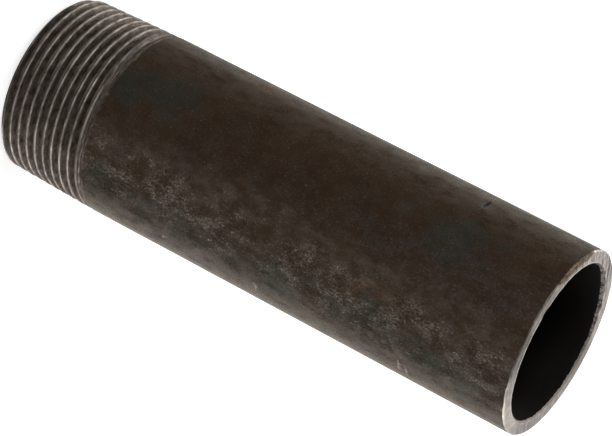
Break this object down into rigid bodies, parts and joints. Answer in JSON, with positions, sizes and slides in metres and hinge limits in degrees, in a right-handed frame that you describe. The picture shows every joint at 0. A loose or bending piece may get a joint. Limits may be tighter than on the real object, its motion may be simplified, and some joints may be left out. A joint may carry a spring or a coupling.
{
  "type": "weld nipple",
  "caption": "Steel pipe nipple with a taper pipe thread on one end and a plain, square-cut end for welding.",
  "frame": {"origin": "centre of the threaded end's face, on the pipe's axis; the nipple stands on this end", "axes": "+Z along the pipe from the threaded end to the weld end"},
  "size_m": [0.0424, 0.0424, 0.131],
  "materials": {
    "steel": "black mill scale, cut bright at the thread and on the weld end's face"
  },
  "bodies": {
    "root": {"weld_nipple": "steel"}
  },
  "joints": []
}
